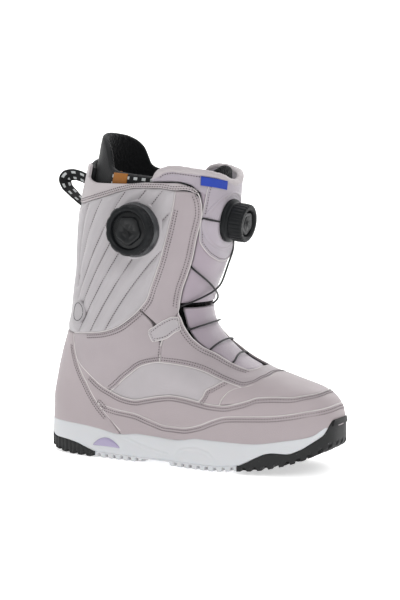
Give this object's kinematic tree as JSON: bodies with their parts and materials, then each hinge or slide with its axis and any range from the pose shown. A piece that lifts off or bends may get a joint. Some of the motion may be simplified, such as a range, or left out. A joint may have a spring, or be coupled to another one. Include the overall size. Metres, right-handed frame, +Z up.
{
  "type": "snowboard boot",
  "caption": "Right snowboard boot with dial lacing on the tongue and cuff, quilted cuff, padded liner, moulded sole and heel pull loop.",
  "frame": {"origin": "on the ground under the middle of the sole, on its centre line", "axes": "+X to the toe, +Z up, -Y to the outer side of this right boot"},
  "size_m": [0.293, 0.1243, 0.3011],
  "materials": {
    "lilac_leather": "soft matte synthetic leather",
    "lilac_satin": "satin coated textile",
    "lilac_quilt": "quilted coated textile",
    "grey_textile": "fine woven textile",
    "white_foam": "moulded foam, satin",
    "black_rubber": "matte rubber",
    "lilac_gel": "translucent",
    "lining_black": "matte",
    "liner_foam": "smooth foam",
    "stiff_plastic": "matte",
    "webbing": "woven",
    "label_blue": "woven",
    "patch_orange": "woven",
    "dial_black": "satin",
    "dial_clear": "translucent grey",
    "lace_black": "braided and coated"
  },
  "bodies": {
    "root": {"ankle_tabs": "grey_textile", "backstay": "lilac_leather", "centre_lugs": "white_foam", "collar_padding": "lining_black", "cuff_badges": "lilac_quilt", "cuff_collar": "lilac_leather", "eyestay_lateral": "lilac_satin", "eyestay_medial": "lilac_satin", "footbed": "liner_foam", "front_lace": "lace_black", "heel_counter": "lilac_leather", "heel_stiffener": "stiff_plastic", "heel_tread": "black_rubber", "lasting_board": "stiff_plastic", "liner_cuff": "liner_foam", "liner_foot_lateral": "liner_foam", "liner_foot_medial": "liner_foam", "liner_patch": "patch_orange", "liner_sole": "liner_foam", "liner_tongue": "liner_foam", "lining_cuff_lateral": "lining_black", "lining_cuff_medial": "lining_black", "lining_heel": "lining_black", "lining_lateral": "lining_black", "lining_medial": "lining_black", "lining_toe": "lining_black", "lower_rand": "lilac_leather", "midsole": "white_foam", "quarter_lateral": "lilac_satin", "quarter_medial": "lilac_satin", "quilted_cuff_lateral": "lilac_quilt", "quilted_cuff_medial": "lilac_quilt", "side_dial_housing": "dial_clear", "side_dial_plate": "lilac_quilt", "side_textile_lateral": "grey_textile", "side_textile_medial": "grey_textile", "sole_pods": "lilac_gel", "toe_box": "lilac_leather", "toe_puff": "stiff_plastic", "toe_tread": "black_rubber", "tongue_lower": "lilac_satin", "upper_band": "lilac_leather", "vamp": "lilac_satin", "vamp_wings": "lilac_satin"},
    "tongue": {"tongue_panel": "lilac_satin", "tongue_padding": "lining_black", "tongue_collar": "lilac_satin", "tongue_binding": "lilac_leather", "tongue_dial_plate": "lilac_satin", "tongue_label": "label_blue", "front_dial_housing": "dial_black"},
    "front_spool": {"front_dial_spool": "dial_black"},
    "front_lift": {"front_dial_drive_ring": "dial_black"},
    "front_knob": {"front_dial_knob": "dial_black", "front_dial_cap": "dial_black"},
    "side_spool": {"side_dial_spool": "dial_black"},
    "side_lift": {"side_dial_drive_ring": "dial_black"},
    "side_knob": {"side_dial_knob": "dial_black", "side_dial_cap": "dial_black"},
    "pull_loop": {"pull_loop": "webbing"}
  },
  "joints": [
    {"name": "tongue_fold", "type": "hinge", "parent": "root", "child": "tongue", "pos_m": [0.016, 0, 0.146], "axis": [0, 1, 0], "range_deg": [0, 22], "deforming": ["front_lace"]},
    {"name": "front_knob_lift", "type": "slide", "parent": "tongue", "child": "front_lift", "axis": [0.9903, 0, -0.1392], "range_m": [0, 0.003]},
    {"name": "front_knob_spin", "type": "hinge", "parent": "front_lift", "child": "front_knob", "pos_m": [0.0408, -0.015, 0.223], "axis": [0.9903, 0, -0.1392], "continuous": true},
    {"name": "front_spool_spin", "type": "hinge", "parent": "tongue", "child": "front_spool", "pos_m": [0.0408, -0.015, 0.223], "axis": [0.9903, 0, -0.1392], "continuous": true},
    {"name": "side_knob_lift", "type": "slide", "parent": "root", "child": "side_lift", "axis": [0, -1, 0], "range_m": [0, 0.003]},
    {"name": "side_knob_spin", "type": "hinge", "parent": "side_lift", "child": "side_knob", "pos_m": [-0.0323, -0.0574, 0.2148], "axis": [0, -1, 0], "continuous": true},
    {"name": "side_spool_spin", "type": "hinge", "parent": "root", "child": "side_spool", "pos_m": [-0.0323, -0.0574, 0.2148], "axis": [0, -1, 0], "continuous": true},
    {"name": "pull_loop_swing", "type": "hinge", "parent": "root", "child": "pull_loop", "pos_m": [-0.118, 0, 0.245], "axis": [0, 0, 1], "range_deg": [-14, 14], "stiffness_Nm_per_rad": 0.02}
  ],
  "couplings": [
    {"joint": "front_spool_spin", "follows": "front_knob_spin", "ratio": 1},
    {"joint": "side_spool_spin", "follows": "side_knob_spin", "ratio": 1}
  ]
}
